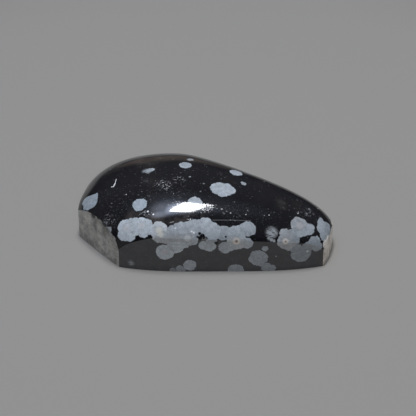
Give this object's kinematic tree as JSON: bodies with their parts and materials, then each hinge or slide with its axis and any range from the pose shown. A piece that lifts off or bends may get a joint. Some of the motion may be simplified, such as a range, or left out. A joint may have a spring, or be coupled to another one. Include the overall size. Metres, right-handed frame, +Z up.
{
  "type": "snowflake obsidian cabochon",
  "caption": "Polished black obsidian cabochon with grey-white snowflake spots, cut as a long hexagon with a domed top, straight walls and a flat back.",
  "frame": {"origin": "on the flat back, at the middle of the stone's outline box", "axes": "+X along the length from the blunt head to the narrow foot, +Y across the stone, +Z up from the flat back through the dome"},
  "size_m": [0.0368, 0.0208, 0.0102],
  "materials": {
    "obsidian": "polished black volcanic glass with grey-white spherulites"
  },
  "bodies": {
    "root": {"cabochon": "obsidian"}
  },
  "joints": []
}
